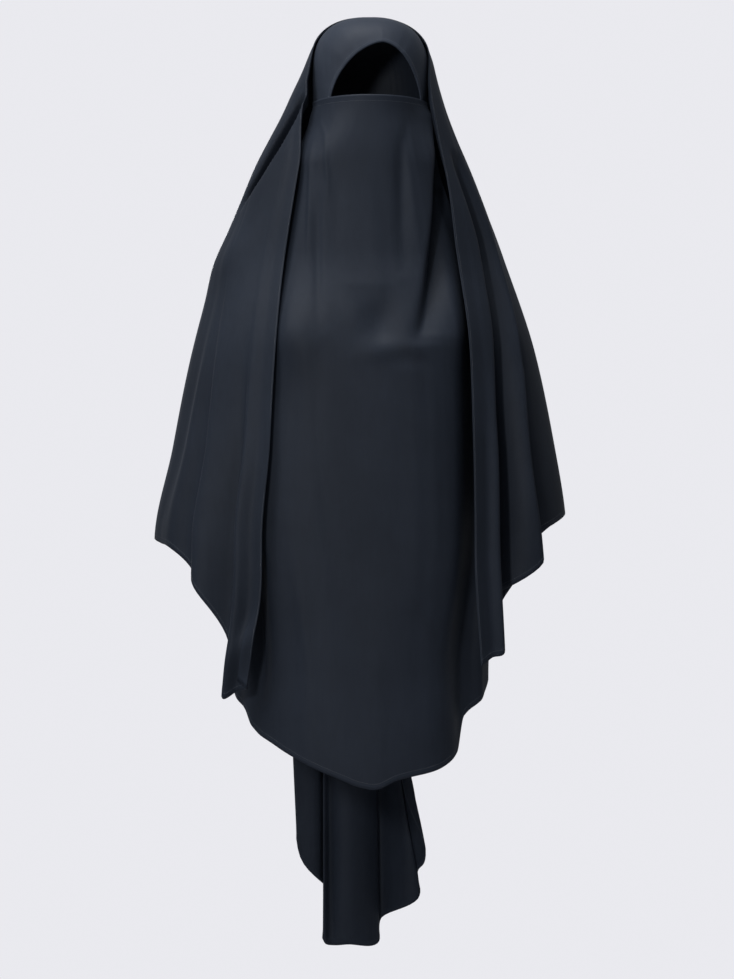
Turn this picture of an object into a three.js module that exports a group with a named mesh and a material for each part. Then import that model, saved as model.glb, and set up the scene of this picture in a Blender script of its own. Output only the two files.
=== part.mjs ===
// A khimar as it hangs when worn: a long hooded cape of thin crepe, a band round
// the forehead and temples, and a face veil that falls from the cheeks to the front hem.
// Millimetres, +Z up. The wearer faces -Y, and +X is on the right of a front view.
// The origin is the top of the crown, where the khimar sits on the head.
import * as THREE from "three";

// The covered head
const headWidth = 162; // side to side
const headDepth = 188; // forehead to back of the head
const crownHeight = 80; // crown down to the widest part
const faceHeight = 150; // widest part down to the chin
const headOffset = 6; // the middle of the head lies this far behind the origin

// The drape, where each drop is measured down from the crown
const cheekDrop = 118;
const neckDrop = 215;
const shoulderDrop = 332;
const bustDrop = 468;
const pointDrop = 725; // points of the hem over the wrists
const frontDrop = 1058;
const backDrop = 1336;
const capeWidth = 571; // from wrist point to wrist point
const capeFrontDepth = 170; // origin to the front of the cape
const capeBackDepth = 168; // origin to the back of the cape
const bodyOffset = -12; // the body hangs this far to the left of the head
const foldDepth = 30; // the deepest fold of the cape

// The veil that hangs in front
const veilLeftWidth = 180; // middle of the body to its left side at the hem
const veilRightWidth = 178;
const veilFrontDepth = 157; // origin to its front at the hem
const veilTopDrop = 121; // crown to its top edge, across the nose
const veilFold = 20; // the deepest fold of the veil

// The opening for the eyes, in the band
const openingWidth = 124;
const openingHeight = 74;
const openingOffset = 8; // the face looks this much to the right
const bandOverlap = 14; // band under the hood's front edge

// Cloth
const cloth = 1.5;
const seamGap = 0.3; // between layers that are sewn together
const facetGap = 0.95; // more room where the hood's flat facets cut inside the head's curve
const lipTurn = 5; // degrees that the cape's front edges turn under
const lipDepth = 11; // how far they turn in

// How fine the solids are
const linesPerFold = 2;
const domeRows = 9;
const fallRows = 14;

const radians = THREE.MathUtils.degToRad;
const mix = THREE.MathUtils.lerp;
const clamp = THREE.MathUtils.clamp;
const smoothstep = THREE.MathUtils.smoothstep;

// A table's rows as objects, from the names of its columns.
function tableOf(names, rows) {
  return rows.map((row) => Object.fromEntries(names.map((name, i) => [name, row[i]])));
}

// A smooth curve through [at, value] points that never overshoots them.
function curveThrough(points) {
  const at = points.map((p) => p[0]);
  const value = points.map((p) => p[1]);
  const rise = at.slice(1).map((a, i) => (value[i + 1] - value[i]) / (a - at[i]));
  const slope = at.map((_, i) => {
    if (i === 0) return rise[0];
    if (i === rise.length) return rise[i - 1];
    if (rise[i - 1] * rise[i] <= 0) return 0;
    return (2 * rise[i - 1] * rise[i]) / (rise[i - 1] + rise[i]);
  });
  return (x) => {
    if (x <= at[0]) return value[0];
    let i = 0;
    while (i < rise.length - 1 && x > at[i + 1]) i += 1;
    const span = at[i + 1] - at[i];
    const t = Math.min((x - at[i]) / span, 1);
    const bend = t * (1 - t) * (slope[i] * (1 - t) - slope[i + 1] * t + rise[i] * (2 * t - 1));
    return mix(value[i], value[i + 1], t) + span * bend;
  };
}

// A table's columns as curves against its first column, the drop.
function curvesOf(names, rows) {
  const column = (i) => curveThrough(rows.map((row) => [row[0], row[i]]));
  return Object.fromEntries(names.map((name, i) => [name, column(i)]));
}

// The head's round top as a share of its full width, from 0 at the crown to 1.
const crownRound = 2.5;
function crownShare(drop) {
  const above = clamp(1 - drop / crownHeight, 0, 1);
  return (1 - above ** crownRound) ** (1 / crownRound);
}

// The cape's cross-sections, as shares of what the drape adds to the head's own form.
const capeShares = curvesOf(["drop", "side", "front", "back", "shift"], [
  [0, 0, 0, 0, 0],
  [0.6 * crownHeight, 0.02, 0, 0.03, 0],
  [cheekDrop, 0.125, 0.1, 0.1, 0.5],
  [neckDrop, 0.34, 0.3, 0.25, 0.95],
  [shoulderDrop, 0.56, 0.42, 0.5, 1],
  [bustDrop, 0.765, 0.86, 0.66, 0.75],
  [(bustDrop + pointDrop) / 2, 0.895, 0.92, 0.75, 0.7],
  [pointDrop, 1, 0.95, 0.83, 1],
  [backDrop, 1.05, 1, 1, 1],
]);

// Half-width, front, back and sideways shift of the cape at a drop below the crown.
function capeSection(drop) {
  const crown = crownShare(drop);
  return {
    side: (headWidth / 2) * crown + (capeWidth / 2 - headWidth / 2) * capeShares.side(drop),
    front: (headDepth / 2) * crown + (capeFrontDepth - headDepth / 2) * capeShares.front(drop),
    back: (headDepth / 2) * crown + (capeBackDepth - headDepth / 2) * capeShares.back(drop),
    shift: bodyOffset * capeShares.shift(drop),
  };
}

// A point on an oval ring, with angle 0 at the front and 90 on the right, moved out by proud.
function ringPoint(section, angle, drop, proud) {
  const sin = Math.sin(radians(angle));
  const cos = Math.cos(radians(angle));
  const depth = cos > 0 ? section.front : section.back;
  const outward = new THREE.Vector2(sin / Math.max(section.side, 1), -cos / Math.max(depth, 1)).normalize();
  const flat = crownShare(drop) ** 2;
  const round = 2 / mix(crownRound, 2, smoothstep(drop, crownHeight, neckDrop));
  return new THREE.Vector3(
    section.shift + section.side * Math.sign(sin) * Math.abs(sin) ** round + outward.x * proud * flat,
    headOffset - depth * Math.sign(cos) * Math.abs(cos) ** round + outward.y * proud * flat,
    proud * (1 - flat) - drop,
  );
}

// The cape's folds, from its left front edge round the back to its right front edge. Each row is
// a ridge: its angle at five heights, how far it stands out, how far the cloth sinks after it,
// where in the step to the next ridge it sinks, where down its length it begins, and its hem.
const foldColumns = ["cheek", "neck", "shoulder", "low", "hem", "proud", "tuck", "turn", "begin", "drop"];
const capeFolds = tableOf(foldColumns, [
  [-50, -34, -31, -27.2, -31.5, 0.1, 0.1, 0.5, 0, 0.853 * frontDrop], // left front edge
  [-62, -45, -41, -35.5, -39, 0.3, 0.6, 0.12, 0.4, 0.883 * frontDrop], // the roll beside it
  [-84, -66, -59, -50, -50, 0.25, 0.3, 0.4, 0.35, 1.09 * pointDrop],
  [-94, -78, -71, -64, -64, 0.1, 0.1, 0.5, 0.3, 1.016 * pointDrop],
  [-108, -96, -88, -87, -88, 0, 0.35, 0.5, 0.3, pointDrop], // left point
  [-130, -117, -106, -107, -107, 0.3, 0.45, 0.5, 0.25, 0.99 * pointDrop],
  [-146, -133, -123, -126, -126, 0.35, 0.5, 0.5, 0.3, 0.584 * backDrop],
  [-158, -147, -139, -142, -143, 0.5, -0.2, 1.15, 0.25, 0.674 * backDrop],
  [-168, -161, -155, -159, -161, -0.35, -0.45, 1.2, 0.3, 0.886 * backDrop], // left side of the tail
  [-176, -171, -167, -169, -169, -0.3, 0.25, 0.5, 0.3, 0.99 * backDrop],
  [-183, -181, -180, -183.5, -184.2, -0.1, -0.5, 0.1, 0.25, 0.995 * backDrop],
  [-190, -189, -189, -190, -196, 0.35, -0.5, 0, 0.3, 0.944 * backDrop],
  [-198, -198, -197, -192, -199, -0.3, -0.2, -0.35, 0.3, 0.886 * backDrop], // right side of the tail
  [-206, -211, -219, -218, -217, 0.5, 0.5, 0.5, 0.25, 0.662 * backDrop],
  [-218, -226, -236, -234, -234, 0.35, 0.45, 0.5, 0.3, 0.573 * backDrop],
  [-234, -243, -254, -252, -252, 0.3, 0.35, 0.5, 0.25, 0.965 * pointDrop],
  [-252, -261, -272, -274, -272, 0, 0.4, 1, 0.3, 0.952 * pointDrop], // right point
  [-272, -281, -290, -305, -303, 0.3, 0.85, 1, 0.1, 1.044 * pointDrop],
  [-290, -299, -305, -320, -319, 0.35, 0.15, 0.5, 0.1, 0.825 * frontDrop], // the roll beside the front edge
  [-302, -311, -319.5, -328.5, -327, 0.1, 0, 0.5, 0, 0.844 * frontDrop], // right front edge
]);

// Where the low angle of a fold lies, as a share of its length below the shoulder.
const lowShare = 0.75;
// The cape's front edge crosses the crown from side to side, which spreads the angles there.
const backAngle = -180;
const crownSpread = 0.75;
const foldSwell = 0.7; // folds open faster near their start the lower this is

// One line of the cape from the crown to the hem, as angle and stand against drop.
function capeLine(fold) {
  const low = mix(shoulderDrop, fold.drop, lowShare);
  const angle = curveThrough([
    [0, backAngle + (fold.cheek - backAngle) * crownSpread],
    [cheekDrop, fold.cheek],
    [neckDrop, fold.neck],
    [shoulderDrop, fold.shoulder],
    [low, fold.low],
    [fold.drop, fold.hem],
  ]);
  const grows = mix(cheekDrop, fold.drop, fold.begin);
  const strength = (drop) => smoothstep(drop, grows, fold.drop) ** foldSwell;
  return { hem: fold.drop, angle, stand: (drop) => fold.proud * foldDepth * strength(drop) };
}

// The line where the cloth turns between two ridges. It starts halfway and has moved to the
// fold's turn at the hem.
const turnGrowth = { cheek: 0, neck: 0.15, shoulder: 0.4, low: 0.85, hem: 1 };
function turnLine(fold, next) {
  const line = { proud: -fold.tuck, begin: fold.begin, drop: mix(fold.drop, next.drop, 0.5) };
  for (const [height, growth] of Object.entries(turnGrowth)) {
    line[height] = mix(fold[height], next[height], mix(0.5, fold.turn, growth));
  }
  return capeLine(line);
}

// The turned-under lip at a front edge, which goes back beneath the edge from side (1 or -1).
function lipLine(fold, side) {
  const line = capeLine(fold);
  const turnedIn = (drop) => smoothstep(drop, 0, neckDrop);
  return {
    hem: line.hem - lipDepth,
    angle: (drop) => line.angle(drop) - side * lipTurn * turnedIn(drop),
    stand: (drop) => line.stand(drop) - lipDepth * turnedIn(drop),
  };
}

// Creases that fade in and out: drops where each starts and ends, its angles there, how far its
// path bows sideways in degrees, and its depth and width as shares of a fold's depth.
const creaseColumns = ["from", "to", "start", "end", "bow", "depth", "width"];
const creaseFade = 0.7; // creases reach their depth sooner the lower this is
const capeCreases = tableOf(creaseColumns, [
  [0.6 * cheekDrop, 1.25 * neckDrop, -64, -69, 10.5, 0.3, 0.32],
  [0.9 * neckDrop, 1.5 * shoulderDrop, -293, -300, 0, 0.16, 0.3],
  [1.1 * neckDrop, 1.5 * bustDrop, -72, -72, 3, 0.16, 0.7],
]);

function creaseDepth(creases, angle, drop, radius) {
  let total = 0;
  for (const crease of creases) {
    const along = (drop - crease.from) / (crease.to - crease.from);
    if (along <= 0 || along >= 1) continue;
    const middle = mix(crease.start, crease.end, along) + crease.bow * 4 * along * (1 - along);
    const across = (radians(angle - middle) * radius) / (crease.width * foldDepth);
    total += crease.depth * Math.sin(Math.PI * along) ** creaseFade * Math.exp(-across * across);
  }
  return total;
}

// Weights of a smooth curve through four evenly spaced values.
function blend4(a, b, c, d, t) {
  return 0.5 * (2 * b + (c - a) * t + (2 * a - 5 * b + 4 * c - d) * t * t + (3 * b - a - 3 * c + d) * t ** 3);
}

// Columns between the lines of a piece: count steps from each line to the next.
function between(lines, count, read) {
  const columns = [];
  const last = lines.length - 1;
  for (let k = 0; k <= last * count; k += 1) {
    const i = Math.min(Math.floor(k / count), last - 1);
    const near = [i - 1, i, i + 1, i + 2].map((n) => lines[clamp(n, 0, last)]);
    const share = k / count - i;
    columns.push((drop) => blend4(...near.map((line) => read(line, drop)), share));
  }
  return columns;
}

const domeCrowding = 1.25;
// Drops that step evenly over the head's round top, from its crown (0) to its widest part (1).
function domeDrop(share) {
  const up = Math.max(Math.cos((Math.PI / 2) * share ** domeCrowding), 0);
  return crownHeight * (1 - up ** (2 / crownRound));
}

// The grid of the cape's outer face. Row 0 is the crown, and the last row is the hem. A row
// runs left to right as seen from outside, like the other pieces' rows.
function capeGrid() {
  const leftEdge = capeFolds[0];
  const rightEdge = capeFolds.at(-1);
  const ridges = capeFolds.slice(0, -1).flatMap((fold, i) => [capeLine(fold), turnLine(fold, capeFolds[i + 1])]);
  const lines = [lipLine(leftEdge, 1), ...ridges, capeLine(rightEdge), lipLine(rightEdge, -1)];
  const hems = between(lines, linesPerFold, (line) => line.hem);
  const angles = between(lines, linesPerFold, (line, drop) => line.angle(drop));
  const stands = between(lines, linesPerFold, (line, drop) => line.stand(drop));
  const hoodEase = cloth + seamGap + cloth + facetGap;
  const rows = [];
  for (let row = 0; row <= domeRows + fallRows; row += 1) {
    rows.push(
      hems.map((hem, i) => {
        const fall = (row - domeRows) / fallRows;
        const drop = row <= domeRows ? domeDrop(row / domeRows) : mix(crownHeight, hem(), fall);
        const angle = angles[i](drop);
        const section = capeSection(drop);
        const crease = creaseDepth(capeCreases, angle, drop, section.side) * foldDepth;
        return ringPoint(section, angle, drop, stands[i](drop) - crease + hoodEase);
      }).reverse(),
    );
  }
  return rows;
}

// The head's form below the crown is nearly an oval whose half-height is the face's.
function headReach(x, y, z) {
  const below = z < 0 ? faceHeight : crownHeight;
  const shares = [x / (headWidth / 2), y / (headDepth / 2), z / below];
  return shares.reduce((sum, share) => sum + Math.abs(share) ** crownRound, 0) ** (-1 / crownRound);
}

// A point of the head's form in a direction from the head's middle, moved out by proud.
function headPoint(direction, proud) {
  const reach = headReach(direction.x, direction.y, direction.z);
  return new THREE.Vector3(0, headOffset, -crownHeight).addScaledVector(direction, reach + proud);
}

// A point of the head's form at a drop below the crown, at an angle round it. Cloth hangs clear
// of the chin, so the form narrows no further below the cheeks.
const cheekLevel = 0.33;
function headRing(angle, drop, proud) {
  const level = clamp((drop - crownHeight) / faceHeight, -0.95, cheekLevel);
  const narrowing = (1 - Math.abs(level) ** crownRound) ** (1 / crownRound);
  const sin = Math.sin(radians(angle));
  const cos = Math.cos(radians(angle));
  const reach = headReach(sin, -cos, 0) * narrowing + proud;
  return new THREE.Vector3(sin * reach, headOffset - cos * reach, -drop);
}

// The veil's cross-sections, as shares of its sizes at the hem, which starts at its sides at
// this share of the front's drop.
const veilSideDrop = 0.86;
const veilShares = curvesOf(["drop", "left", "right", "front", "shift"], [
  [veilTopDrop, 0.485, 0.475, 0.72, 0],
  [mix(veilTopDrop, neckDrop, 0.4), 0.525, 0.54, 0.725, 0.4],
  [neckDrop, 0.56, 0.66, 0.72, 0.95],
  [shoulderDrop, 0.72, 0.83, 0.77, 1],
  [bustDrop, 0.88, 0.98, 0.98, 0.75],
  [pointDrop, 1.05, 1.07, 0.965, 1],
  [veilSideDrop * frontDrop, 1, 1, 0.985, 1],
  [frontDrop, 1, 1, 1, 1],
]);
const veilSquare = 3; // how square its cross-section is, where 2 is an oval
const hemSquare = 2.5;

// The veil's hem from left to right: its angle, and its drop as a share of the front's.
const veilHemAt = curveThrough([
  [-80, 0.86],
  [-69, 0.893],
  [-60, 0.904],
  [-53, 0.924],
  [-37, 0.945],
  [-21, 0.966],
  [-5, 0.988],
  [3, 1],
  [11, 0.989],
  [32, 0.975],
  [43, 0.957],
  [48, 0.913],
  [58, 0.9],
  [69, 0.889],
  [80, 0.87],
]);
const veilEndAngle = 80; // its sides hang this far round, under the cape
const veilTopAngle = 64; // its top edge ends on the temples
const noseDepth = 12; // the nose holds the middle of the veil off the head's form
const noseNarrow = 6; // the higher this is, the narrower the nose
const bandEase = 2 * cloth + seamGap; // it lies over the band's ends

// The veil's soft folds, laid out as the cape's creases are.
const veilCreases = tableOf(creaseColumns, [
  [1.02 * veilTopDrop, 0.99 * bustDrop, 66, 18, 4, 0.6, 0.34],
  [1.1 * veilTopDrop, 1.2 * shoulderDrop, 20, 14, 5, 0.16, 0.45],
  [1.2 * neckDrop, 1.05 * bustDrop, -30, -24, 0, 0.13, 0.4],
  [1.15 * shoulderDrop, 1.06 * bustDrop, 2, 12, -3, 0.2, 0.9],
  [0.9 * bustDrop, 1.02 * frontDrop, 52, 56, 0, 0.35, 0.6],
]);

function veilPoint(share, fall) {
  const end = mix(-veilEndAngle, veilEndAngle, share);
  const drop = mix(veilTopDrop, veilHemAt(end) * frontDrop, fall);
  const open = smoothstep(drop, veilTopDrop, bustDrop);
  const angle = end * mix(veilTopAngle / veilEndAngle, 1, open);
  const sin = Math.sin(radians(angle));
  const cos = Math.cos(radians(angle));
  const round = 2 / mix(veilSquare, hemSquare, smoothstep(drop, pointDrop, veilSideDrop * frontDrop));
  const side = sin < 0 ? veilLeftWidth * veilShares.left(drop) : veilRightWidth * veilShares.right(drop);
  const crease = creaseDepth(veilCreases, angle, drop, side) * veilFold;
  const hanging = new THREE.Vector3(
    side * Math.sign(sin) * Math.abs(sin) ** round + bodyOffset * veilShares.shift(drop),
    headOffset - veilFrontDepth * veilShares.front(drop) * Math.abs(cos) ** round,
    -drop,
  ).add(new THREE.Vector3(-sin * crease, cos * crease, 0));
  const onHead = headRing(angle, drop, bandEase + noseDepth * Math.max(cos, 0) ** noseNarrow);
  return onHead.lerp(hanging, smoothstep(drop, veilTopDrop, neckDrop));
}

const veilColumns = 30;
const veilRows = 18;
const rowCrowding = 1.15; // above 1, rows lie closer at the top
function veilGrid() {
  const rows = [];
  for (let row = 0; row <= veilRows; row += 1) {
    const points = [];
    for (let column = 0; column <= veilColumns; column += 1) {
      points.push(veilPoint(column / veilColumns, (row / veilRows) ** rowCrowding));
    }
    rows.push(points);
  }
  return rows;
}

// The band runs up the left temple, over the forehead and down the right temple.
const bandColumns = 28;
const bandRows = 6;
const underVeilLength = 7; // its ends go this far under the veil's top edge
const bandEndAngle = 118; // its outer edge swings this far down from the crown
const bandLean = 0.35; // and comes forward at the temples
function bandGrid() {
  const rows = [];
  for (let row = 0; row <= bandRows; row += 1) {
    const points = [];
    for (let column = 0; column <= bandColumns; column += 1) {
      const turn = mix(-1, 1, column / bandColumns);
      points.push(bandPoint(turn, 1 - row / bandRows));
    }
    rows.push(points);
  }
  return rows;
}

const openingRound = 1.7; // how round the top of the opening is, where 2 is an oval
const openingLeanOffset = 9; // its top leans this far to the right

// turn runs from -1 at the left end to 1 at the right end, and across from the opening's
// edge (0) to the edge under the hood (1).
function bandPoint(turn, across) {
  const angle = radians(90 * turn);
  const wide = Math.sign(turn) * Math.abs(Math.sin(angle)) ** (2 / openingRound);
  const high = Math.max(Math.cos(angle), 0) ** (2 / openingRound);
  const x = openingOffset + (openingWidth / 2) * wide + openingLeanOffset * high * high;
  const z = crownHeight - veilTopDrop - underVeilLength * (1 - high) + openingHeight * high;
  const below = z < 0 ? faceHeight : crownHeight;
  const left = 1 - Math.abs(x / (headWidth / 2)) ** crownRound - Math.abs(z / below) ** crownRound;
  const inner = new THREE.Vector3(x, (-headDepth / 2) * left ** (1 / crownRound), z).normalize();
  const swing = radians(mix(90, bandEndAngle, Math.abs(turn))) * turn;
  const back = bandOverlap / crownHeight - bandLean * turn * turn;
  const outer = new THREE.Vector3(Math.sin(swing), back, Math.cos(swing));
  return headPoint(inner.lerp(outer.normalize(), across).normalize(), cloth);
}

// The way into the cloth at a grid point, from the points around it.
function inwardAt(grid, row, column) {
  const above = grid[Math.max(row - 1, 0)][column];
  const below = grid[Math.min(row + 1, grid.length - 1)][column];
  const left = grid[row][Math.max(column - 1, 0)];
  const right = grid[row][Math.min(column + 1, grid[row].length - 1)];
  return right.clone().sub(left).cross(below.clone().sub(above)).normalize();
}

// A closed sheet of cloth. The grid's points are its outer face, in rows from top to bottom, and
// the inner face lies a cloth's thickness behind. A first row that is one point becomes a fan.
function clothFrom(grid, name, material) {
  const lastRow = grid.length - 1;
  const lastColumn = grid[0].length - 1;
  const pole = grid[0].every((point) => point.distanceTo(grid[0][0]) < cloth);
  const down = new THREE.Vector3(0, 0, -1);
  const positions = [];
  const faces = [0, 1].map((face) =>
    grid.map((line, row) => {
      const numbers = [];
      line.forEach((outer, column) => {
        if (pole && row === 0 && column > 0) {
          numbers.push(numbers[0]);
          return;
        }
        const inward = pole && row === 0 ? down : inwardAt(grid, row, column);
        numbers.push(positions.length / 3);
        positions.push(...outer.clone().addScaledVector(inward, face * cloth).toArray());
      });
      return numbers;
    }),
  );

  const index = [];
  const addQuad = ([a, b, c, d], facesIn) => {
    if (a !== b) index.push(...(facesIn ? [a, b, d] : [a, d, b]));
    index.push(...(facesIn ? [b, c, d] : [b, d, c]));
  };
  for (let row = 0; row < lastRow; row += 1) {
    for (let column = 0; column < lastColumn; column += 1) {
      const [outer, inner] = faces.map((face) => [
        face[row][column],
        face[row][column + 1],
        face[row + 1][column + 1],
        face[row + 1][column],
      ]);
      addQuad(outer, false);
      addQuad(inner, true);
    }
  }

  const rim = [];
  for (let row = 0; row < lastRow; row += 1) rim.push([row, 0]);
  for (let column = 0; column < lastColumn; column += 1) rim.push([lastRow, column]);
  for (let row = lastRow; row > 0; row -= 1) rim.push([row, lastColumn]);
  if (!pole) for (let column = lastColumn; column > 0; column -= 1) rim.push([0, column]);
  rim.forEach(([row, column], i) => {
    const [nextRow, nextColumn] = rim[(i + 1) % rim.length];
    const [outer, inner] = faces;
    const next = outer[nextRow][nextColumn];
    const nextInner = inner[nextRow][nextColumn];
    index.push(outer[row][column], inner[row][column], next, next, inner[row][column], nextInner);
  });

  const geometry = new THREE.BufferGeometry();
  geometry.setAttribute("position", new THREE.Float32BufferAttribute(positions, 3));
  geometry.setIndex(index);
  geometry.computeVertexNormals();
  const mesh = new THREE.Mesh(geometry, material);
  mesh.name = name;
  return mesh;
}

const crepe = new THREE.MeshStandardMaterial({ color: 0x262a31, roughness: 0.72, metalness: 0 });
const bandCrepe = new THREE.MeshStandardMaterial({ color: 0x2e3239, roughness: 0.7, metalness: 0 });

const khimar = new THREE.Group();
khimar.add(clothFrom(capeGrid(), "hooded_cape", crepe));
khimar.add(clothFrom(veilGrid(), "face_veil", crepe));
khimar.add(clothFrom(bandGrid(), "forehead_band", bandCrepe));

export default khimar;
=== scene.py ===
import math

import bpy
import numpy as np
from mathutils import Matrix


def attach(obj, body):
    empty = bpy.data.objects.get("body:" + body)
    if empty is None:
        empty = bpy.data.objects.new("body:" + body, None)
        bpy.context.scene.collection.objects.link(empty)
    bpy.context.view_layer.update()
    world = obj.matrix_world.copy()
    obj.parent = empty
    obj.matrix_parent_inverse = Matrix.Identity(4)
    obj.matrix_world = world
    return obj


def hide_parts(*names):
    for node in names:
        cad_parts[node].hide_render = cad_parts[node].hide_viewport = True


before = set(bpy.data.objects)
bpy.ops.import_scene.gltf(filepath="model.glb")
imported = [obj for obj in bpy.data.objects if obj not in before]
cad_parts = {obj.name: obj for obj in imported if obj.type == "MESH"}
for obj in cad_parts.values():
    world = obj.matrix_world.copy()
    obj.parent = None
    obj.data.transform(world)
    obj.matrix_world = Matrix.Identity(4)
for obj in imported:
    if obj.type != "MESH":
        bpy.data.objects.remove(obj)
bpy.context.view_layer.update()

# The forehead band. It is a doubled strip of crepe, turned under along an arch over the eye
# opening. The hood is sewn on over its upper edge, and the veil's top corners over its lower
# ends, so both of them lie outside it. All sizes are in metres.
hood_width = 0.162
hood_depth = 0.188
crown_height = 0.080
low_height = 0.150
hood_back = 0.006
crown_round = 2.5
cloth = 0.0009
seam_gap = 0.0003
veil_top_drop = 0.121
opening_width = 0.124
opening_height = 0.074
opening_shift = 0.008
opening_round = 1.7
opening_lean = 0.009
band_overlap = 0.014
band_under_veil = 0.007
band_end_angle = 118
band_lean = 0.35
band_thickness = 0.0013
band_edge_width = 0.006
band_edge_swell = 0.0007
band_seat = 0.0015
band_pucker = 0.0003
band_row_crowding = 1.2
band_stitch_line = 0.0045
# A stitch fills this share of its pitch, and its ends have this share of its middle's width.
stitch_pitch = 0.0028
stitch_share = 0.72
stitch_tip = 0.45
thread = 0.00042
bead_corners = 6


def hood_reach(x, y, z):
    """How far the form inside the hood reaches from its middle along a direction."""
    below = np.where(z < 0, low_height, crown_height)
    total = np.abs(x / (hood_width / 2)) ** crown_round
    total = total + np.abs(y / (hood_depth / 2)) ** crown_round
    total = total + np.abs(z / below) ** crown_round
    return total ** (-1 / crown_round)


def smooth(x, start, end):
    """0 before start, 1 after end and a smooth rise between."""
    t = np.clip((x - start) / (end - start), 0, 1)
    return t * t * (3 - 2 * t)


def unit(vectors):
    length = np.linalg.norm(vectors, axis=-1, keepdims=True)
    return vectors / np.maximum(length, 1e-9)


def soft_noise(seed, across, down):
    """Smooth noise from -1 to 1 that varies once over each unit of across and of down."""
    lattice = np.random.default_rng(seed).uniform(-1, 1, (64, 64))
    i = np.floor(across).astype(int)
    j = np.floor(down).astype(int)
    s = smooth(across - i, 0, 1)
    t = smooth(down - j, 0, 1)
    top = lattice[i % 64, j % 64] * (1 - s) + lattice[(i + 1) % 64, j % 64] * s
    low = lattice[i % 64, (j + 1) % 64] * (1 - s) + lattice[(i + 1) % 64, (j + 1) % 64] * s
    return top * (1 - t) + low * t


def facing_out(points):
    """Unit normals of a grid whose rows run down and whose columns run left to right."""
    across = np.gradient(points, axis=1)
    down = np.gradient(points, axis=0)
    return unit(np.cross(down, across))


def sewn_sheet(name, outer, thickness, near_edge, material):
    """A closed sheet of cloth: outer face, inner face a thickness behind it, and the rim."""
    rows, columns = outer.shape[:2]
    inner = outer - facing_out(outer) * thickness[..., None]
    pole = np.ptp(outer[0], axis=0).max() < 1e-6
    if pole:
        inner[0] = outer[0] - np.array((0, 0, 1)) * thickness[0, 0]
    number = np.arange(rows * columns).reshape(rows, columns)
    if pole:
        number[0] = number[0, 0]
    corner = [number[:-1, :-1], number[1:, :-1], number[1:, 1:], number[:-1, 1:]]
    front = np.stack([c.ravel() for c in corner], axis=1)
    back = front[:, ::-1] + rows * columns
    rim = list(number[:, 0]) + list(number[-1, 1:]) + list(number[-2::-1, -1])
    if pole:
        rim = rim[:-1]
    else:
        rim += list(number[0, -2:0:-1])
    rim = np.array(rim)
    after = np.roll(rim, -1)
    sides = np.stack([after, rim, rim + rows * columns, after + rows * columns], axis=1)
    faces = []
    for quad in np.concatenate([front, back, sides]).tolist():
        corners = list(dict.fromkeys(quad))
        if len(corners) > 2:
            faces.append(corners)
    points = np.concatenate([outer.reshape(-1, 3), inner.reshape(-1, 3)])
    used = np.unique(np.concatenate([np.array(face) for face in faces]))
    renumber = np.full(len(points), -1)
    renumber[used] = np.arange(len(used))
    faces = [[int(renumber[c]) for c in face] for face in faces]
    mesh = bpy.data.meshes.new(name)
    mesh.from_pydata(points[used].tolist(), [], faces)
    edge = mesh.attributes.new("hem", "FLOAT", "POINT")
    edge.data.foreach_set("value", np.tile(near_edge.ravel(), 2)[used].astype(np.float32))
    mesh.shade_smooth()
    mesh.materials.append(material)
    sheet = bpy.data.objects.new(name, mesh)
    bpy.context.scene.collection.objects.link(sheet)
    return sheet


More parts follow.
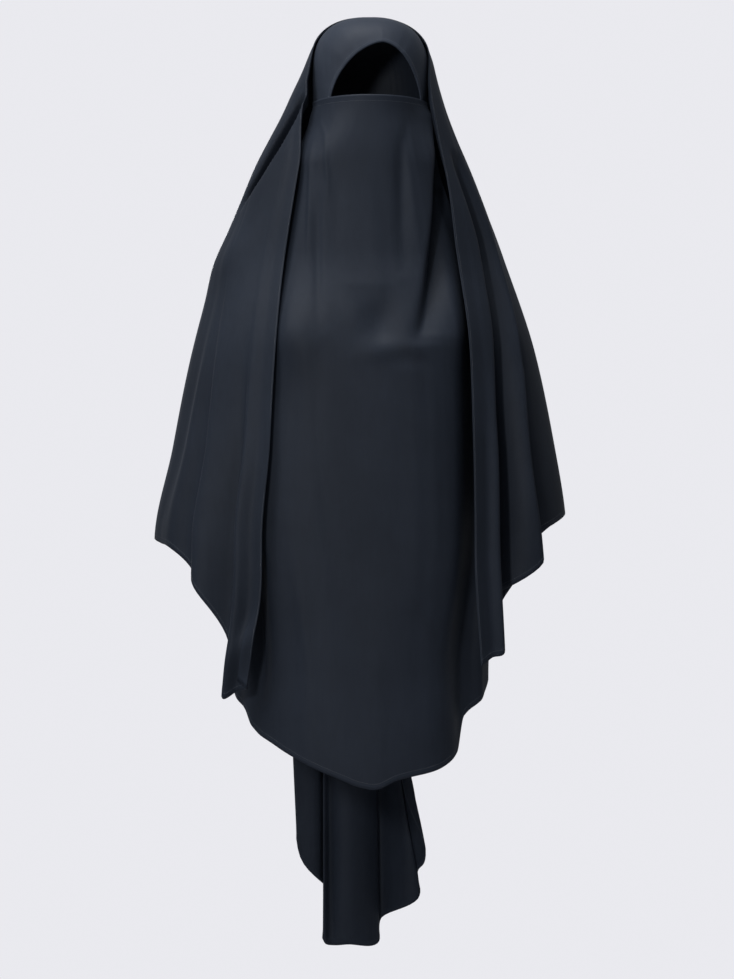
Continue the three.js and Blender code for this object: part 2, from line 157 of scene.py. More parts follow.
def crepe(name, colour, grain):
    """Smooth slate crepe: fine pebbled grain, faint cloudy dyeing, soft sheen, and hems painted lighter,
    partly as wear and partly as a painted sheen.
    """
    material = bpy.data.materials.new(name)
    material.use_nodes = True
    nodes = material.node_tree.nodes
    links = material.node_tree.links
    shader = nodes["Principled BSDF"]
    shader.inputs["Roughness"].default_value = 0.56
    shader.inputs["Specular IOR Level"].default_value = 0.05
    shader.inputs["Sheen Weight"].default_value = 0.015
    shader.inputs["Sheen Roughness"].default_value = 0.42
    shader.inputs["Sheen Tint"].default_value = (0.55, 0.65, 0.85, 1)

    place = nodes.new("ShaderNodeTexCoord")
    clouds = nodes.new("ShaderNodeTexNoise")
    clouds.inputs["Scale"].default_value = 9
    clouds.inputs["Detail"].default_value = 4
    links.new(place.outputs["Object"], clouds.inputs["Vector"])
    shades = nodes.new("ShaderNodeValToRGB")
    shades.color_ramp.elements[0].position = 0.3
    shades.color_ramp.elements[0].color = (*[c * 0.88 for c in colour], 1)
    shades.color_ramp.elements[1].position = 0.7
    shades.color_ramp.elements[1].color = (*[c * 1.12 for c in colour], 1)
    links.new(clouds.outputs["Fac"], shades.inputs["Fac"])

    threads = nodes.new("ShaderNodeTexNoise")
    threads.inputs["Scale"].default_value = 260
    threads.inputs["Detail"].default_value = 3
    stretch = nodes.new("ShaderNodeMapping")
    stretch.inputs["Scale"].default_value = (1, 1, 0.12)
    links.new(place.outputs["Object"], stretch.inputs["Vector"])
    links.new(stretch.outputs["Vector"], threads.inputs["Vector"])
    streaks = nodes.new("ShaderNodeMix")
    streaks.data_type = "RGBA"
    streaks.blend_type = "MULTIPLY"
    streaks.inputs["Factor"].default_value = 0.22
    links.new(shades.outputs["Color"], streaks.inputs["A"])
    links.new(threads.outputs["Fac"], streaks.inputs["B"])

    # Near the hems the colour is painted up to 1.3 times lighter: partly wear, partly a painted sheen on
    # the pressed hem edges.
    hem = nodes.new("ShaderNodeAttribute")
    hem.attribute_name = "hem"
    hem_wear_and_sheen = nodes.new("ShaderNodeMix")
    hem_wear_and_sheen.data_type = "RGBA"
    hem_wear_and_sheen.inputs["B"].default_value = (*[c * 1.3 for c in colour], 1)
    hem_wear_and_sheen_share = nodes.new("ShaderNodeMath")
    hem_wear_and_sheen_share.operation = "MULTIPLY"
    hem_wear_and_sheen_share.inputs[1].default_value = 0.4
    links.new(hem.outputs["Fac"], hem_wear_and_sheen_share.inputs[0])
    links.new(hem_wear_and_sheen_share.outputs["Value"], hem_wear_and_sheen.inputs["Factor"])
    links.new(streaks.outputs["Result"], hem_wear_and_sheen.inputs["A"])
    links.new(hem_wear_and_sheen.outputs["Result"], shader.inputs["Base Color"])

    pebbles = nodes.new("ShaderNodeTexNoise")
    pebbles.inputs["Scale"].default_value = 1100
    pebbles.inputs["Detail"].default_value = 2
    links.new(place.outputs["Object"], pebbles.inputs["Vector"])
    bump = nodes.new("ShaderNodeBump")
    bump.inputs["Strength"].default_value = grain
    bump.inputs["Distance"].default_value = 0.0004
    links.new(pebbles.outputs["Fac"], bump.inputs["Height"])
    puckers = nodes.new("ShaderNodeTexNoise")
    puckers.inputs["Scale"].default_value = 75
    puckers.inputs["Detail"].default_value = 3
    links.new(place.outputs["Object"], puckers.inputs["Vector"])
    softer = nodes.new("ShaderNodeBump")
    softer.inputs["Strength"].default_value = 0.14
    softer.inputs["Distance"].default_value = 0.0012
    links.new(puckers.outputs["Fac"], softer.inputs["Height"])
    links.new(bump.outputs["Normal"], softer.inputs["Normal"])
    links.new(softer.outputs["Normal"], shader.inputs["Normal"])
    return material


def stitches(name, points, normals, material):
    """A row of machine stitches along a line of points, one flattened bead to a stitch."""
    steps = np.linalg.norm(np.diff(points, axis=0), axis=1)
    along = np.concatenate([[0], np.cumsum(steps)])
    count = max(int(along[-1] / stitch_pitch), 1)
    at = (np.arange(count) + 0.5) * stitch_pitch
    half = stitch_pitch * stitch_share / 2
    middle = np.stack([np.interp(at, along, points[:, i]) for i in range(3)], axis=1)
    before = np.stack([np.interp(at - half, along, points[:, i]) for i in range(3)], axis=1)
    after = np.stack([np.interp(at + half, along, points[:, i]) for i in range(3)], axis=1)
    up = unit(np.stack([np.interp(at, along, normals[:, i]) for i in range(3)], axis=1))
    side = unit(np.cross(up, after - before))
    rings = []
    for centre, swell in ((before, stitch_tip), (middle, 1.0), (after, stitch_tip)):
        for corner in range(bead_corners):
            turn = 2 * math.pi / bead_corners * corner
            lift = up * (math.sin(turn) * thread * 0.45 * swell + thread * 0.2)
            rings.append(centre + side * math.cos(turn) * thread * 0.5 * swell + lift)
    points = np.stack(rings, axis=1)
    bead = [list(range(bead_corners))[::-1], list(range(2 * bead_corners, 3 * bead_corners))]
    for ring in (0, bead_corners):
        for corner in range(bead_corners):
            this = ring + corner
            other = ring + (corner + 1) % bead_corners
            bead.append([this, other, other + bead_corners, this + bead_corners])
    all_faces = []
    for stitch in range(count):
        first = stitch * 3 * bead_corners
        all_faces += [[first + corner for corner in face] for face in bead]
    mesh = bpy.data.meshes.new(name)
    mesh.from_pydata(points.reshape(-1, 3).tolist(), [], all_faces)
    mesh.shade_smooth()
    mesh.materials.append(material)
    row = bpy.data.objects.new(name, mesh)
    bpy.context.scene.collection.objects.link(row)
    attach(row, "root")
    return row


def sewing_thread():
    """Matt polyester thread, a shade lighter than the cloth."""
    material = bpy.data.materials.new("sewing_thread")
    material.use_nodes = True
    nodes = material.node_tree.nodes
    shader = nodes["Principled BSDF"]
    shader.inputs["Roughness"].default_value = 0.55
    twist = nodes.new("ShaderNodeTexNoise")
    twist.inputs["Scale"].default_value = 900
    shades = nodes.new("ShaderNodeValToRGB")
    shades.color_ramp.elements[0].color = (0.012, 0.015, 0.021, 1)
    shades.color_ramp.elements[1].color = (0.022, 0.026, 0.035, 1)
    material.node_tree.links.new(twist.outputs["Fac"], shades.inputs["Fac"])
    material.node_tree.links.new(shades.outputs["Color"], shader.inputs["Base Color"])
    return material


band_columns = 150
band_rows = 26
turn = np.linspace(-1, 1, band_columns)[None, :]
across = np.linspace(1, 0, band_rows)[:, None] ** band_row_crowding
arch = np.radians(90) * turn
wide = np.sign(turn) * np.abs(np.sin(arch)) ** (2 / opening_round)
high = np.maximum(np.cos(arch), 0) ** (2 / opening_round)
edge_x = opening_shift + opening_width / 2 * wide + opening_lean * high * high
edge_z = crown_height - veil_top_drop - band_under_veil * (1 - high) + opening_height * high
edge_below = np.where(edge_z < 0, low_height, crown_height)
left_over = 1 - np.abs(edge_x / (hood_width / 2)) ** crown_round
left_over = left_over - np.abs(edge_z / edge_below) ** crown_round
edge_y = -hood_depth / 2 * left_over ** (1 / crown_round)
opening_way = unit(np.stack([edge_x, edge_y, edge_z], axis=-1))
swing = np.radians(90 + (band_end_angle - 90) * np.abs(turn)) * turn
under_y = band_overlap / crown_height - band_lean * turn**2
under_way = unit(np.stack([np.sin(swing), under_y, np.cos(swing)], axis=-1))
band_way = unit(opening_way + (under_way - opening_way) * across[..., None])
reach = hood_reach(band_way[..., 0], band_way[..., 1], band_way[..., 2])
pucker = band_pucker * soft_noise(3, turn * 16 + 40, across * 1.2) * (1 - across) ** 0.5
reach = reach + band_seat + pucker - seam_gap
band_points = band_way * reach[..., None] + np.array((0, hood_back, -crown_height))
from_edge = np.linalg.norm(band_points - band_points[-1:], axis=-1)
rolled = 1 - smooth(from_edge, band_edge_width * 0.75, band_edge_width)
band_thick = band_thickness + band_edge_swell * rolled
band_points = band_points + facing_out(band_points) * (band_edge_swell * 0.6 * rolled)[..., None]
# The band is the same crepe as the veil and cape, but painted nearly twice as light: painted light
# standing in for the light that falls on its top, which faces up.
band_crepe = crepe("band_crepe", (0.0165, 0.0204, 0.0288), 0.35)
band = sewn_sheet("forehead_band_cloth", band_points, band_thick, rolled, band_crepe)
seam_thread = sewing_thread()


def line_inside(points, distance, from_row):
    """Points a distance in from a grid's first or last row, with their outward normals."""
    rows = points if from_row == 0 else points[::-1]
    steps = np.linalg.norm(np.diff(rows, axis=0), axis=2)
    along = np.concatenate([np.zeros((1, rows.shape[1])), np.cumsum(steps, axis=0)])
    normals = facing_out(points)
    normals = normals if from_row == 0 else normals[::-1]
    line = np.zeros((rows.shape[1], 3))
    ways = np.zeros_like(line)
    for column in range(rows.shape[1]):
        for i in range(3):
            line[column, i] = np.interp(distance, along[:, column], rows[:, column, i])
            ways[column, i] = np.interp(distance, along[:, column], normals[:, column, i])
    return line, ways


band_line = line_inside(band_points, band_stitch_line, -1)
band_stitches = stitches("forehead_band_stitches", *band_line, seam_thread)
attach(band, "root")
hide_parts("forehead_band")

# The face veil. A single long piece of crepe hangs from the band's ends below the eye opening,
# breaks softly at bust height and falls straight to the front hem. Its top and bottom edges
# are narrow stitched hems, and its sides are tucked in under the cape.
neck_drop = 0.215
shoulder_drop = 0.332
bust_drop = 0.468
point_drop = 0.725
front_drop = 1.058
body_shift = -0.012
veil_left = 0.180
veil_right = 0.178
veil_front = 0.157
veil_square = 3.0
hem_square = 2.5
cheek_level = 0.33
veil_side_drop = 0.86
veil_end_angle = 80
veil_top_angle = 64
nose_stand = 0.012
left_cheek_flare = 0.004
right_cheek_flare = 0.0095
nose_narrow = 6
hem_width = 0.009
hem_swell = 0.0009
hem_inner_share = 0.8
hem_outer_share = 1.1
veil_spread = 0.2
top_stitch_line = 0.0085
hem_stitch_line = 0.0075
veil_stand = 0.0033
veil_fold_depth = 0.020
veil_wave = 0.0016
veil_wrinkle = 0.0005
flare_rise = 0.025
flare_end_above = 0.03
flare_end_below = 0.04


def curve_through(points):
    """A smooth curve through points that never overshoots them."""
    at = np.array([p[0] for p in points], float)
    value = np.array([p[1] for p in points], float)
    rise = np.diff(value) / np.diff(at)
    slope = np.zeros(len(at))
    slope[0] = rise[0]
    slope[-1] = rise[-1]
    for i in range(1, len(rise)):
        if rise[i - 1] * rise[i] > 0:
            slope[i] = 2 * rise[i - 1] * rise[i] / (rise[i - 1] + rise[i])

    def read(x):
        i = np.clip(np.searchsorted(at, x) - 1, 0, len(rise) - 1)
        span = at[i + 1] - at[i]
        t = np.clip((x - at[i]) / span, 0, 1)
        bend = t * (1 - t) * (slope[i] * (1 - t) - slope[i + 1] * t + rise[i] * (2 * t - 1))
        return value[i] + (value[i + 1] - value[i]) * t + span * bend

    return read


def curves_of(names, rows):
    """A table's columns as curves against its first column, the drop."""
    curves = {}
    for i, name in enumerate(names):
        curves[name] = curve_through([(row[0], row[i]) for row in rows])
    return curves


def creased(creases, angle, drop, radius, unit_depth):
    """How far creases sink a surface. Each follows a line of drops and angles, and one side
    of it can be steeper than the other."""
    total = np.zeros(np.broadcast(angle, drop).shape)
    for line, depth, left_width, right_width in creases:
        along = np.clip((drop - line[0][0]) / (line[-1][0] - line[0][0]), 0, 1)
        offset = np.radians(angle - curve_through(line)(drop)) * radius / unit_depth
        width = np.where(offset < 0, left_width, right_width)
        fade = np.maximum(np.sin(math.pi * along), 0) ** 0.7
        total = total + depth * unit_depth * fade * np.exp(-((offset / width) ** 2))
    return total


def swellings(bumps, x, drop):
    """How far soft bumps lift a surface, each a long or round one that leans by its tilt."""
    total = np.zeros(np.broadcast(x, drop).shape)
    for middle_x, middle_drop, length, width, tilt, height in bumps:
        lean = math.radians(tilt)
        along = (x - middle_x) * math.cos(lean) - (drop - middle_drop) * math.sin(lean)
        aside = (x - middle_x) * math.sin(lean) + (drop - middle_drop) * math.cos(lean)
        total = total + height * np.exp(-((along / length) ** 2) - (aside / width) ** 2)
    return total


# Shares of the veil's half widths, of its reach to the front and of its shift, by drop.
veil_shares = curves_of(("drop", "left", "right", "front", "shift"), [
    (veil_top_drop, 0.485, 0.475, 0.72, 0),
    (veil_top_drop + 0.4 * (neck_drop - veil_top_drop), 0.525, 0.54, 0.725, 0.4),
    (neck_drop, 0.56, 0.66, 0.72, 0.95),
    (shoulder_drop, 0.72, 0.83, 0.77, 1),
    (bust_drop, 0.88, 0.98, 0.98, 0.75),
    (point_drop, 1.05, 1.07, 0.965, 1),
    (veil_side_drop * front_drop, 1, 1, 0.985, 1),
    (front_drop, 1, 1, 1, 1),
])
# The hem's drop at each angle, as a share of the drop at the middle.
veil_hem_at = curve_through([
    (-80, 0.86), (-69, 0.893), (-60, 0.904), (-53, 0.924), (-37, 0.945), (-21, 0.966),
    (-5, 0.988), (3, 1), (11, 0.989), (32, 0.975), (43, 0.957), (48, 0.913), (58, 0.9),
    (69, 0.889), (80, 0.87),
])
# Each crease has its line of drops and angles, its depth, and its width to the left and right.
veil_creases = [
    (
        ((0.123, 73), (0.2035, 60), (0.264, 47.5), (0.355, 31.5), (0.415, 22.5), (0.463, 16)),
        0.85, 0.6, 1.8,
    ),
    (((0.133, 32), (0.158, 28), (0.2, 20), (0.30, 14.6), (0.37, 13)), 0.22, 0.5, 0.5),
    (
        ((0.125, -46), (0.15, -42), (0.175, -30), (0.2, -21.5), (0.242, -16.4), (0.27, -15)),
        -0.10, 0.2, 0.2,
    ),
    (((0.18, -42), (0.2, -37.8), (0.26, -30.6), (0.32, -25), (0.35, -23.5)), -0.10, 0.22, 0.3),
    (((0.255, -22), (0.279, -20.7), (0.35, -17.3), (0.415, -14.6), (0.45, -13.5)), 0.18, 0.35, 0.35),
    (((0.215, 1), (0.33, 2.5), (0.445, 4)), -0.08, 0.4, 0.4),
    (((0.382, 2), (0.439, 4), (0.496, 12)), 0.2, 0.9, 0.9),
    (((0.445, -16), (0.645, -9), (0.846, -2)), 0.05, 0.35, 0.7),
]
# Where the veil falls back behind the cape's two front edges.
veil_tucks = [
    (
        ((0.10, 69), (0.16, 61.5), (0.2035, 55.5), (0.264, 45.5), (0.355, 31), (0.45, 18)),
        0.82, 0.32, 3.4,
    ),
    (((0.34, 66), (0.42, 55), (0.51, 47), (0.81, 45), (1.10, 48)), 2.1, 1.05, 2.6),
    (((0.74, -38), (0.857, -42), (0.95, -44)), 1.2, 1.5, 0.5),
    (((0.24, 66), (0.36, 62), (0.60, 60), (0.80, 60)), 1.7, 1.5, 6),
]
# Each bump has its middle's x and drop, its half length and half width, its tilt and height.
veil_bumps = [
    (0.014, 0.430, 0.034, 0.024, 58, -0.0070),
    (-0.014, 0.440, 0.040, 0.014, 120, 0.0030),
    (0.026, 0.468, 0.040, 0.014, 8, 0.0036),
    (-0.100, 0.450, 0.045, 0.030, 95, 0.0085),
    (0.060, 0.470, 0.020, 0.010, -25, 0.002),
]
veil_columns = 196
veil_rows = 224
share = np.linspace(0, 1, veil_columns)[None, :]
fall = np.linspace(0, 1, veil_rows)[:, None] ** 1.1
veil_end = veil_end_angle * (2 * share - 1)
veil_length = veil_hem_at(veil_end) * front_drop - veil_top_drop
veil_drop = veil_top_drop + veil_length * fall
veil_open = smooth(veil_drop, veil_top_drop, bust_drop)
veil_angle = veil_end * (veil_top_angle / veil_end_angle * (1 - veil_open) + veil_open)
sin = np.sin(np.radians(veil_angle))
cos = np.cos(np.radians(veil_angle))
left_side = veil_left * veil_shares["left"](veil_drop)
right_side = veil_right * veil_shares["right"](veil_drop)
side = np.where(sin < 0, left_side, right_side)
sunk = creased(veil_creases, veil_angle, veil_drop, side, veil_fold_depth)
hang = smooth(veil_drop, veil_top_drop, front_drop)
sunk = sunk - veil_wave * soft_noise(11, veil_angle / 9 + 20, veil_drop / 0.30) * (0.35 + hang)
sunk = sunk - veil_wrinkle * soft_noise(12, veil_angle / 4.5 + 30, veil_drop / 0.14)
squaring = smooth(veil_drop, point_drop, veil_side_drop * front_drop)
squareness = veil_square + (hem_square - veil_square) * squaring
veil_shift = body_shift * veil_shares["shift"](veil_drop)
veil_x = side * np.sign(sin) * np.abs(sin) ** (2 / squareness) + veil_shift
sunk = sunk - swellings(veil_bumps, veil_x, veil_drop)
veil_y = hood_back - veil_front * veil_shares["front"](veil_drop) * np.abs(cos) ** (2 / squareness)
tucked = creased(veil_tucks, veil_angle, veil_drop, side, veil_fold_depth)
hanging = np.stack([veil_x - sin * sunk, veil_y + cos * sunk + tucked, -veil_drop], axis=-1)
level = (veil_drop - crown_height) / low_height
narrowing = (1 - np.clip(np.abs(level), 0, cheek_level) ** crown_round) ** (1 / crown_round)
stand = veil_stand + nose_stand * np.maximum(cos, 0) ** nose_narrow
ring = hood_reach(sin, -cos, np.zeros_like(sin)) * narrowing + stand
on_form = np.stack([sin * ring, hood_back - cos * ring, -veil_drop], axis=-1)
let_go = smooth(veil_drop, veil_top_drop, neck_drop)[..., None]
veil_points = on_form * (1 - let_go) + hanging * let_go
at_sides = smooth(np.abs(2 * share - 1), 0.5, 0.95)
flare = np.where(share < 0.5, left_cheek_flare, right_cheek_flare) * at_sides
flare = flare * smooth(veil_drop, veil_top_drop, veil_top_drop + flare_rise)
flare_ends = smooth(veil_drop, neck_drop - flare_end_above, neck_drop + flare_end_below)
flare = flare * (1 - flare_ends)
veil_points = veil_points + np.stack([sin, -cos, np.zeros_like(sin)], axis=-1) * flare[..., None]
to_hem = (1 - fall) * veil_length
to_top = fall * veil_length
to_side = (1 - np.abs(2 * share - 1)) * veil_end_angle / 60 * veil_spread
to_edge = np.minimum(np.minimum(to_hem, to_top * 0.8), to_side)
hem_inner = hem_width * hem_inner_share
hem_outer = hem_width * hem_outer_share
veil_hem = 1 - smooth(to_edge, hem_inner, hem_outer)
veil_thick = cloth + hem_swell * veil_hem
veil_crepe = crepe("veil_crepe", (0.0089, 0.0114, 0.0168), 0.30)
veil = sewn_sheet("face_veil_cloth", veil_points, veil_thick, veil_hem, veil_crepe)
veil_top_line = line_inside(veil_points, top_stitch_line, 0)
veil_hem_line = line_inside(veil_points, hem_stitch_line, -1)
veil_stitches = [
    stitches("face_veil_top_stitches", *veil_top_line, seam_thread),
    stitches("face_veil_hem_stitches", *veil_hem_line, seam_thread),
]
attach(veil, "root")
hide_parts("face_veil")

# The hooded cape. One wide piece of crepe goes over the crown as a hood, falls to a point on
# each side and runs out behind in a long tail. Its front edges are turned under and fall over
# the veil, and a narrow hem is stitched all round the bottom.
cheek_drop = 0.118
back_drop = 1.336
cape_width = 0.571
cape_front = 0.170
cape_back = 0.168
fold_depth = 0.030
lip_turn = 5
lip_depth = 0.011
low_share = 0.75
crown_spread = 0.75
fold_swell = 0.7
hood_ease = 0.0030
left_snug = 0.003
right_snug = 0.0055
cape_wave = 0.0022
cape_wrinkle = 0.0009
crown_wrinkles = 0.25
crown_calm_drop = 0.012
line_spacing = 0.018
edge_stitch_line = 1.32
# Shares of the way from the crown's size to the cape's, to the side, front and back, by drop.
cape_shares = curves_of(("drop", "side", "front", "back", "shift"), [
    (0, 0, 0, 0, 0),
    (0.6 * crown_height, 0.02, 0, 0.03, 0),
    (cheek_drop, 0.125, 0.1, 0.1, 0.5),
    (neck_drop, 0.34, 0.3, 0.25, 0.95),
    (shoulder_drop, 0.56, 0.42, 0.5, 1),
    (bust_drop, 0.765, 0.86, 0.66, 0.75),
    ((bust_drop + point_drop) / 2, 0.895, 0.92, 0.75, 0.7),
    (point_drop, 1, 0.95, 0.83, 1),
    (back_drop, 1.05, 1, 1, 1),
])
# Each row is a ridge of the drape, from the left front edge round the back to the right one. It
# has the ridge's angle at five drops, how far the ridge stands out and the turn after it sinks,
# where that turn lies, where the fold begins and the drop of its hem.
fold_columns = ("cheek", "neck", "shoulder", "low", "hem", "proud", "tuck", "turn", "begin", "drop")
cape_folds = [dict(zip(fold_columns, row)) for row in [
    (-50, -34, -31, -27.2, -31.5, 0.1, 0.1, 0.5, 0, 0.872 * front_drop),
    (-62, -45, -41, -35.5, -39, 0.3, 0.6, 0.12, 0.4, 0.883 * front_drop),
    (-84, -66, -59, -50, -50, 0.25, 0.3, 0.4, 0.35, 1.09 * point_drop),
    (-94, -78, -71, -64, -64, 0.1, 0.1, 0.5, 0.3, 1.016 * point_drop),
    (-108, -96, -88, -87, -88, 0, 0.35, 0.5, 0.3, point_drop),
    (-130, -117, -106, -107, -107, 0.3, 0.45, 0.5, 0.25, 0.99 * point_drop),
    (-146, -133, -123, -126, -126, 0.35, 0.5, 0.5, 0.3, 0.584 * back_drop),
    (-158, -147, -139, -142, -143, 0.5, -0.2, 1.15, 0.25, 0.674 * back_drop),
    (-168, -161, -155, -159, -161, -0.35, -0.45, 1.2, 0.3, 0.886 * back_drop),
    (-176, -171, -167, -169, -169, -0.3, 0.25, 0.5, 0.3, 0.99 * back_drop),
    (-183, -181, -180, -183.5, -184.2, -0.1, -0.5, 0.1, 0.25, 0.995 * back_drop),
    (-190, -189, -189, -190, -196, 0.35, -0.5, 0, 0.3, 0.944 * back_drop),
    (-198, -198, -197, -192, -199, -0.3, -0.2, -0.35, 0.3, 0.886 * back_drop),
    (-206, -211, -219, -218, -217, 0.5, 0.5, 0.5, 0.25, 0.662 * back_drop),
    (-218, -226, -236, -234, -234, 0.35, 0.45, 0.5, 0.3, 0.573 * back_drop),
    (-234, -243, -254, -252, -252, 0.3, 0.35, 0.5, 0.25, 0.965 * point_drop),
    (-252, -261, -272, -274, -272, 0, 0.4, 1, 0.3, 0.952 * point_drop),
    (-272, -281, -290, -305, -303, 0.3, 0.85, 1, 0.1, 1.044 * point_drop),
    (-290, -299, -305, -320, -319, 0.15, 0, 0.5, 0.1, 0.825 * front_drop),
    (-302, -311, -319.5, -328.5, -327, 0.1, 0, 0.5, 0, 0.844 * front_drop),
]]
# The cape's creases and bumps, in rows like the veil's.
cape_creases = [
    (((0.094, -50), (0.15, -53.5), (0.183, -57), (0.224, -64), (0.269, -76)), 0.35, 0.45, 0.16),
    (((0.1935, -293), (0.498, -300)), 0.16, 0.3, 0.3),
    (((0.2365, -72), (0.469, -69), (0.702, -72)), 0.16, 0.7, 0.7),
    (
        (
            (0.19, -297.5), (0.257, -298.5), (0.309, -299.4), (0.386, -304.6), (0.583, -314.3),
            (0.781, -316.1), (0.90, -316.5),
        ),
        1.1, 0.25, 0.75,
    ),
    (
        (
            (0.44, -293.5), (0.487, -295.6), (0.575, -301), (0.64, -301), (0.718, -299.8),
            (0.77, -299),
        ),
        0.35, 0.15, 0.35,
    ),
    (((0.99, -167), (1.363, -167.5)), 0.6, 0.32, 0.8),
    (((0.99, -170.6), (1.363, -171)), -0.5, 0.3, 0.25),
    (((0.99, -176.5), (1.39, -176.5)), 0.3, 0.6, 0.7),
    (((0.98, -184.6), (1.41, -185.4)), -0.74, 0.72, 0.5),
    (((0.99, -193.5), (1.33, -194.5)), 0.35, 0.6, 0.6),
]
# Where the hood's roll falls back behind the left front panel.
cape_tucks = [
    (((0.115, -50.5), (0.15, -53.5), (0.183, -57), (0.224, -64), (0.268, -75)), 0.8, 0.38, 0.12),
]
cape_bumps = [
    (-0.195, 0.338, 0.042, 0.018, 61, 0.0080),
    (-0.166, 0.864, 0.036, 0.013, 60, 0.0075),
]


def cape_line(fold):
    """One line of the cape from crown to hem: its hem, angle and stand against drop."""
    low = shoulder_drop + (fold["drop"] - shoulder_drop) * low_share
    angle = curve_through([
        (0, -180 + (fold["cheek"] + 180) * crown_spread),
        (cheek_drop, fold["cheek"]),
        (neck_drop, fold["neck"]),
        (shoulder_drop, fold["shoulder"]),
        (low, fold["low"]),
        (fold["drop"], fold["hem"]),
    ])
    begins = cheek_drop + (fold["drop"] - cheek_drop) * fold["begin"]

    def stand(drop):
        return fold["proud"] * fold_depth * smooth(drop, begins, fold["drop"]) ** fold_swell

    return fold["drop"], angle, stand


def turn_line(fold, after):
    """The line where the cloth turns between two ridges."""
    line = {"proud": -fold["tuck"], "begin": fold["begin"], "drop": (fold["drop"] + after["drop"]) / 2}
    for height, growth in (("cheek", 0), ("neck", 0.15), ("shoulder", 0.4), ("low", 0.85), ("hem", 1)):
        step = 0.5 + (fold["turn"] - 0.5) * growth
        line[height] = fold[height] + (after[height] - fold[height]) * step
    return cape_line(line)


def lip_line(fold, way):
    """The turned-under lip along a front edge."""
    hem, angle, stand = cape_line(fold)

    def lip_angle(drop):
        return angle(drop) - way * lip_turn * smooth(drop, 0, neck_drop)

    def lip_stand(drop):
        return stand(drop) - lip_depth * smooth(drop, 0, neck_drop)

    return hem - lip_depth, lip_angle, lip_stand


def blend4(near, t):
    """A smooth curve through four evenly spaced values, between the middle two."""
    a, b, c, d = near
    square = (2 * a - 5 * b + 4 * c - d) * t**2
    cube = (3 * b - a - 3 * c + d) * t**3
    return 0.5 * (2 * b + (c - a) * t + square + cube)


cape_lines = [lip_line(cape_folds[0], 1)]
for fold, after in zip(cape_folds[:-1], cape_folds[1:]):
    cape_lines += [cape_line(fold), turn_line(fold, after)]
cape_lines += [cape_line(cape_folds[-1]), lip_line(cape_folds[-1], -1)]
steps_per_line = 8
dome_rows = 30
fall_rows = 120
cape_columns = (len(cape_lines) - 1) * steps_per_line + 1
dome = np.maximum(np.cos(math.pi / 2 * np.linspace(0, 1, dome_rows + 1) ** 1.25), 0)
dome_drop = crown_height * (1 - dome ** (2 / crown_round))
cape_drop = np.zeros((dome_rows + fall_rows + 1, cape_columns))
cape_angle = np.zeros_like(cape_drop)
cape_stand = np.zeros_like(cape_drop)
cape_hem_drop = np.zeros(cape_columns)
for column in range(cape_columns):
    place = min(column // steps_per_line, len(cape_lines) - 2)
    t = column / steps_per_line - place
    near = [cape_lines[min(max(place + i, 0), len(cape_lines) - 1)] for i in (-1, 0, 1, 2)]
    hem = blend4([line[0] for line in near], t)
    below_dome = crown_height + (hem - crown_height) * np.arange(1, fall_rows + 1) / fall_rows
    drop = np.concatenate([dome_drop, below_dome])
    cape_hem_drop[column] = hem
    cape_drop[:, column] = drop
    cape_angle[:, column] = blend4([line[1](drop) for line in near], t)
    cape_stand[:, column] = blend4([line[2](drop) for line in near], t)
cape_angle = cape_angle[:, ::-1]
cape_stand = cape_stand[:, ::-1]
cape_drop = cape_drop[:, ::-1]
cape_hem_drop = cape_hem_drop[::-1]
line_at = np.linspace(len(cape_lines) - 1, 0, cape_columns)[None, :]
crown = (1 - np.clip(1 - cape_drop / crown_height, 0, 1) ** crown_round) ** (1 / crown_round)
half = hood_width / 2 * crown + (cape_width / 2 - hood_width / 2) * cape_shares["side"](cape_drop)
ahead = hood_depth / 2 * crown + (cape_front - hood_depth / 2) * cape_shares["front"](cape_drop)
behind = hood_depth / 2 * crown + (cape_back - hood_depth / 2) * cape_shares["back"](cape_drop)
sin = np.sin(np.radians(cape_angle))
cos = np.cos(np.radians(cape_angle))
depth = np.where(cos > 0, ahead, behind)
loose = smooth(cape_drop, crown_height, point_drop)
ripple = cape_wave * soft_noise(21, line_at * 0.9 + 5, cape_drop / 0.34) * loose
off_crown = crown_wrinkles * smooth(cape_drop, crown_calm_drop, crown_height)
wrinkles = soft_noise(22, line_at * 2.3 + 9, cape_drop / 0.2)
ripple = ripple + cape_wrinkle * wrinkles * (off_crown + loose)
near_edge = np.minimum(line_at, len(cape_lines) - 1 - line_at)
# The hood lies closer to the band and veil from just below the crown down to the shoulder.
snug = smooth(cape_drop, 0.03, 0.10) * (1 - smooth(cape_drop, 0.16, 0.32))
snug = snug * (1 - smooth(near_edge, 1, 5))
snug = snug * np.where(cape_angle > -180, left_snug, right_snug)
proud = cape_stand + hood_ease + ripple - snug
proud = proud - creased(cape_creases, cape_angle, cape_drop, half, fold_depth)
proud = proud + swellings(cape_bumps, half * sin + body_shift, cape_drop) * (cos > 0)
outward = unit(np.stack([sin / np.maximum(half, 0.001), -cos / np.maximum(depth, 0.001)], axis=-1))
flat = crown**2
roundness = 2 / (crown_round + (2 - crown_round) * smooth(cape_drop, crown_height, neck_drop))
shift = body_shift * cape_shares["shift"](cape_drop)
cape_x = shift + half * np.sign(sin) * np.abs(sin) ** roundness + outward[..., 0] * proud * flat
cape_y = hood_back - depth * np.sign(cos) * np.abs(cos) ** roundness + outward[..., 1] * proud * flat
cape_y = cape_y + creased(cape_tucks, cape_angle, cape_drop, half, fold_depth)
cape_z = proud * (1 - flat) - cape_drop
cape_points = np.stack([cape_x, cape_y, cape_z], axis=-1)
to_hem = cape_hem_drop[None, :] - cape_drop
to_side = near_edge * line_spacing + 0.0001
cape_hem = 1 - smooth(np.minimum(to_hem, to_side), hem_inner, hem_outer)
cape_thick = cloth + hem_swell * cape_hem
cape_crepe = crepe("cape_crepe", (0.0089, 0.0114, 0.0168), 0.30)
cape = sewn_sheet("hooded_cape_cloth", cape_points, cape_thick, cape_hem, cape_crepe)
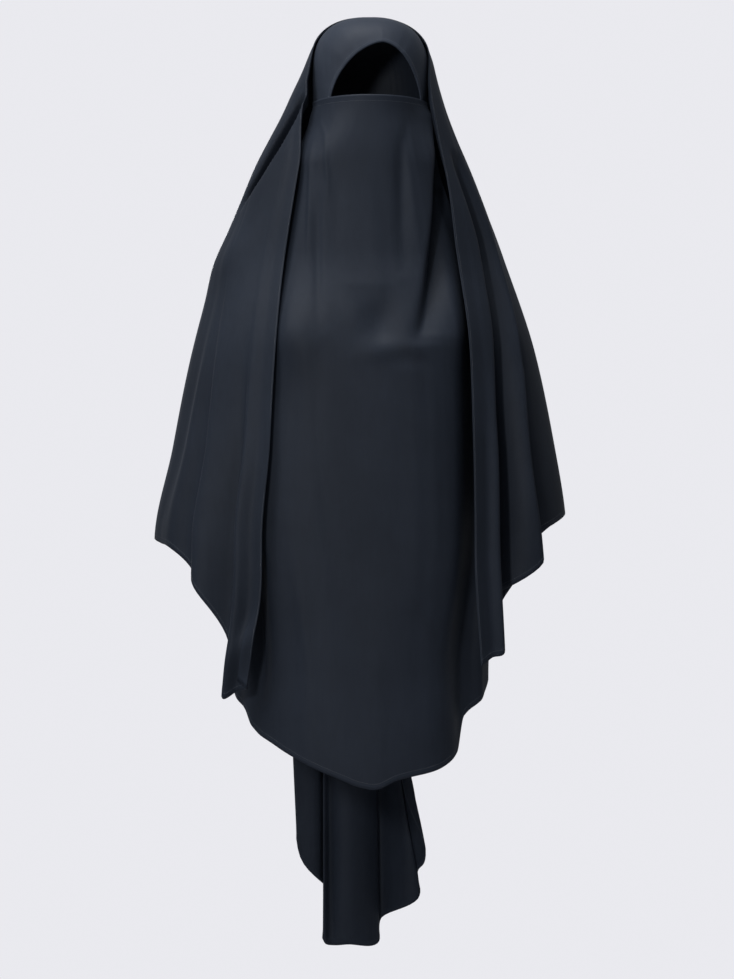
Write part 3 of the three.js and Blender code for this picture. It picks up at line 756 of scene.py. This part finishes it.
cape_hem_line = line_inside(cape_points, hem_stitch_line, -1)
cape_stitches = [stitches("hooded_cape_hem_stitches", *cape_hem_line, seam_thread)]
edge_column = int(edge_stitch_line * steps_per_line)
cape_normals = facing_out(cape_points)
for side_name, column in (("right", edge_column), ("left", -1 - edge_column)):
    edge = (cape_points[dome_rows // 2:, column], cape_normals[dome_rows // 2:, column])
    cape_stitches.append(stitches(f"hooded_cape_{side_name}_edge_stitches", *edge, seam_thread))
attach(cape, "root")
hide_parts("hooded_cape")

# The plain studio. The khimar hangs over a round pale floor. A key light stands left of the
# camera, a soft one is high up on the left, a third hangs above and a fourth lights the back.
floor_drop = 1.75
floor_radius = 1.8
pale = bpy.data.materials.new("pale_paper")
pale.use_nodes = True
paper = pale.node_tree.nodes["Principled BSDF"]
paper.inputs["Base Color"].default_value = (0.55, 0.55, 0.57, 1)
paper.inputs["Roughness"].default_value = 0.9
floor_points = []
for a in np.radians(np.arange(0, 360, 2)):
    floor_points.append((floor_radius * math.cos(a), floor_radius * math.sin(a), -floor_drop))
floor_mesh = bpy.data.meshes.new("pale_floor")
floor_mesh.from_pydata(floor_points, [], [list(range(len(floor_points)))])
floor_mesh.materials.append(pale)
floor = bpy.data.objects.new("pale_floor", floor_mesh)
bpy.context.scene.collection.objects.link(floor)


def studio_light(name, place, target, size, power, spread):
    """A round soft light at a place, aimed at a target and unseen by the camera."""
    light = bpy.data.lights.new(name, "AREA")
    light.shape = "DISK"
    light.size = size
    light.energy = power
    light.spread = math.radians(spread)
    lamp = bpy.data.objects.new(name, light)
    lamp.location = place
    aim = np.array(target) - np.array(place)
    flat_length = math.hypot(aim[0], aim[1])
    lamp.rotation_euler = (math.atan2(flat_length, -aim[2]), 0, math.atan2(aim[1], aim[0]) - math.pi / 2)
    lamp.visible_camera = False
    bpy.context.scene.collection.objects.link(lamp)


studio_light("key_light", (-0.65, -2.15, -0.35), (0, 0, -0.6), 0.22, 28, 180)
studio_light("overhead_light", (-0.2, -0.45, 1.2), (-0.12, -0.38, -1.0), 0.7, 6, 46)
studio_light("window_light", (-1.5, -1.2, 1.3), (-0.1, -0.1, -0.45), 1.1, 8.5, 70)
studio_light("back_light", (-0.5, 2.9, 0.1), (0, 0.1, -0.6), 0.5, 24, 180)
world = bpy.data.worlds.new("studio")
world.use_nodes = True
air = world.node_tree.nodes
air_links = world.node_tree.links
sky = air["Background"]
sky.inputs["Color"].default_value = (0.94, 0.96, 1.0, 1)
sky.inputs["Strength"].default_value = 0.42
backdrop = air.new("ShaderNodeBackground")
backdrop.inputs["Color"].default_value = (0.82, 0.82, 0.86, 1)
seen = air.new("ShaderNodeLightPath")
either = air.new("ShaderNodeMixShader")
air_links.new(seen.outputs["Is Camera Ray"], either.inputs["Fac"])
air_links.new(sky.outputs["Background"], either.inputs[1])
air_links.new(backdrop.outputs["Background"], either.inputs[2])
air_links.new(either.outputs["Shader"], air["World Output"].inputs["Surface"])
bpy.context.scene.world = world
bpy.context.scene.view_settings.view_transform = "Standard"

# The camera. It looks level at the khimar's front from 3.2 m away. In a picture 979 points
# high, each point takes in 1.4 mm of the khimar.
camera_distance = 3.2
millimetres_a_point = 1.4
picture_height = 979
picture_middle_x = -0.0042
picture_middle_drop = 0.657
sensor_width = 36
camera = bpy.data.cameras.new("front_camera")
camera.sensor_width = sensor_width
camera.lens = sensor_width * camera_distance * 1000 / (millimetres_a_point * picture_height)
viewer = bpy.data.objects.new("front_camera", camera)
viewer.location = (picture_middle_x, -camera_distance, -picture_middle_drop)
viewer.rotation_euler = (math.pi / 2, 0, 0)
bpy.context.scene.collection.objects.link(viewer)
bpy.context.scene.camera = viewer
